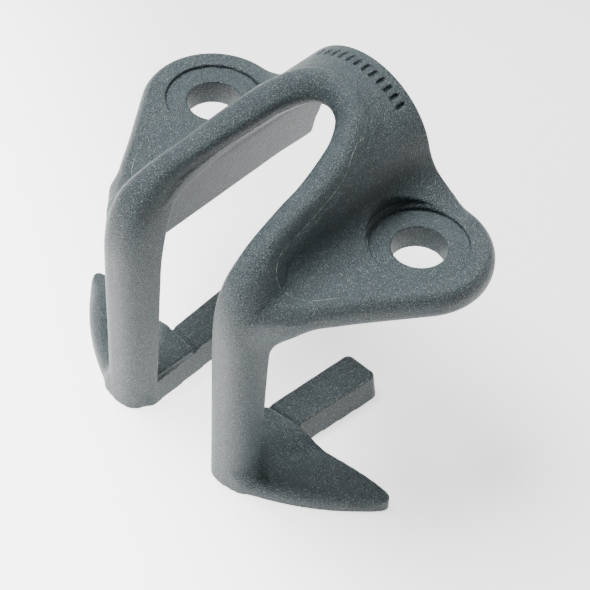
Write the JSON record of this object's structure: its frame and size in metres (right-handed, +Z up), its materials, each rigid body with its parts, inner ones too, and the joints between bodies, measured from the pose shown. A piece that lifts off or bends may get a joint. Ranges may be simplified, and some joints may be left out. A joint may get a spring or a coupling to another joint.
{
  "type": "cam cleat rope guide horn",
  "caption": "Moulded rope guide for a small cam cleat: clawed legs bend back into arms that meet in an arched crown between drilled screw ears.",
  "frame": {"origin": "middle of the bounding box's bottom face: on the symmetry plane, level with the feet's base", "axes": "+X through the right ear, +Y towards the back of the crown, +Z up along the screws, away from the deck"},
  "size_m": [0.0414, 0.0266, 0.035],
  "materials": {
    "nylon": "glass-filled nylon with an even fine spark-eroded grain, dark slate grey"
  },
  "bodies": {
    "root": {"crown": "nylon", "right_arm": "nylon", "left_arm": "nylon", "right_ear": "nylon", "left_ear": "nylon", "right_leg": "nylon", "left_leg": "nylon", "right_claw": "nylon", "left_claw": "nylon", "right_bar": "nylon", "left_bar": "nylon"}
  },
  "joints": []
}
